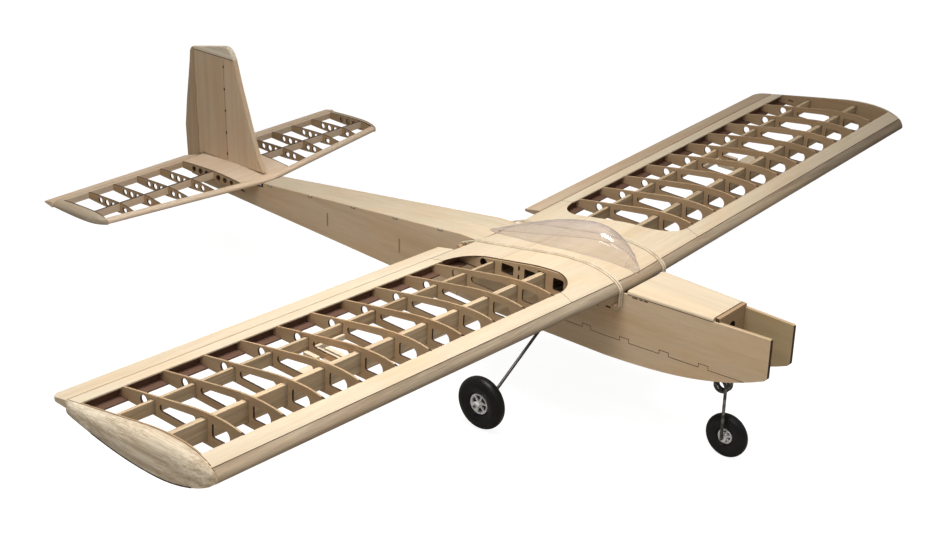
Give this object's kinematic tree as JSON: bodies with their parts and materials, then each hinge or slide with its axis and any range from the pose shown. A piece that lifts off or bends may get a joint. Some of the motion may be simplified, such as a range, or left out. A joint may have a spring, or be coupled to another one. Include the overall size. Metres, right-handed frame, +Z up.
{
  "type": "model aeroplane frame",
  "caption": "Uncovered radio-control trainer aeroplane frame: built-up shoulder wing, box fuselage, clear canopy, wire tricycle gear, hinged ailerons, elevator and rudder.",
  "frame": {"origin": "centre of the outline in plan, on the ground plane under the wheels", "axes": "+X to the nose, +Y to the port wing tip, +Z up"},
  "size_m": [1.052, 1.3938, 0.3305],
  "materials": {
    "balsa": "bare sanded balsa with straight grain",
    "pale_balsa": "pale bare balsa, lightly sanded",
    "ply": "bare light ply with scorched laser-cut edges",
    "hardwood": "bare hardwood",
    "wire": "dark oiled spring-steel wire",
    "silver": "satin silver",
    "tyre": "smooth black foam rubber",
    "nylon": "matt black nylon",
    "hinge": "white nylon hinge leaf",
    "clear_canopy": "thin clear moulded plastic, glossy",
    "latex": "tan rubber band"
  },
  "bodies": {
    "airframe": {"wing_ribs_left": "ply", "wing_ribs_right": "ply", "main_spars": "pale_balsa", "rear_spars": "balsa", "trailing_edge_webs": "ply", "leading_edges": "pale_balsa", "leading_edge_sheeting": "pale_balsa", "trailing_edge_sheeting": "pale_balsa", "centre_sheeting": "pale_balsa", "dihedral_brace": "ply", "wing_tips": "pale_balsa", "servo_bays": "pale_balsa", "canopy": "clear_canopy", "rubber_bands": "latex", "fuselage_side_left": "balsa", "fuselage_side_right": "balsa", "lower_sides": "balsa", "aft_deck": "balsa", "bottom_sheets": "pale_balsa", "formers": "ply", "firewall": "ply", "doublers": "ply", "servo_tray": "ply", "wing_dowels": "hardwood", "gear_block": "hardwood", "gear_straps": "nylon", "screws": "silver", "main_leg_left": "wire", "main_leg_right": "wire", "axle_collars": "silver", "nose_bracket": "nylon", "stabiliser_ribs": "ply", "stabiliser_spars": "balsa", "stabiliser_leading_edges": "pale_balsa", "stabiliser_sheeting": "pale_balsa", "stabiliser_tips": "pale_balsa", "fin_skins": "balsa", "fin_frame": "balsa", "fin_leading_edge": "pale_balsa", "fin_tip": "pale_balsa", "fixed_leaves": "hinge"},
    "port_aileron": {"aileron_left": "pale_balsa", "aileron_leaves_left": "hinge"},
    "starboard_aileron": {"aileron_right": "pale_balsa", "aileron_leaves_right": "hinge"},
    "elevator": {"elevators": "pale_balsa", "elevator_joiner": "wire", "elevator_leaves": "hinge"},
    "rudder": {"rudder": "balsa", "rudder_leaves": "hinge"},
    "hatch": {"hatch": "balsa"},
    "nose_leg": {"nose_strut": "wire", "steering_arm": "nylon", "nose_collars": "silver"},
    "nose_wheel": {"nose_tyre": "tyre", "nose_hub": "silver"},
    "port_wheel": {"main_tyre_left": "tyre", "main_hub_left": "silver"},
    "starboard_wheel": {"main_tyre_right": "tyre", "main_hub_right": "silver"}
  },
  "joints": [
    {"name": "port_aileron_hinge", "type": "hinge", "parent": "airframe", "child": "port_aileron", "pos_m": [0.10075, 0.3495, 0.19916], "axis": [0, 0.9991, 0.0419], "range_deg": [-20, 20]},
    {"name": "starboard_aileron_hinge", "type": "hinge", "parent": "airframe", "child": "starboard_aileron", "pos_m": [0.10075, -0.3495, 0.19916], "axis": [0, 0.9991, -0.0419], "range_deg": [-20, 20]},
    {"name": "elevator_hinge", "type": "hinge", "parent": "airframe", "child": "elevator", "pos_m": [-0.4865, 0, 0.146], "axis": [0, 1, 0], "range_deg": [-25, 25]},
    {"name": "rudder_hinge", "type": "hinge", "parent": "airframe", "child": "rudder", "pos_m": [-0.4937, 0, 0.2], "axis": [0, 0, 1], "range_deg": [-25, 25]},
    {"name": "nose_steering", "type": "hinge", "parent": "airframe", "child": "nose_leg", "pos_m": [0.465, 0, 0.13], "axis": [0, 0, 1], "range_deg": [-20, 20]},
    {"name": "nose_wheel_spin", "type": "hinge", "parent": "nose_leg", "child": "nose_wheel", "pos_m": [0.465, 0, 0.0285], "axis": [0, 1, 0], "continuous": true},
    {"name": "port_wheel_spin", "type": "hinge", "parent": "airframe", "child": "port_wheel", "pos_m": [0.2013, 0.149, 0.035], "axis": [0, 1, 0], "continuous": true},
    {"name": "starboard_wheel_spin", "type": "hinge", "parent": "airframe", "child": "starboard_wheel", "pos_m": [0.2013, -0.149, 0.035], "axis": [0, 1, 0], "continuous": true},
    {"name": "hatch_lift", "type": "slide", "parent": "airframe", "child": "hatch", "axis": [0, 0, 1], "range_m": [0, 0.08]}
  ]
}
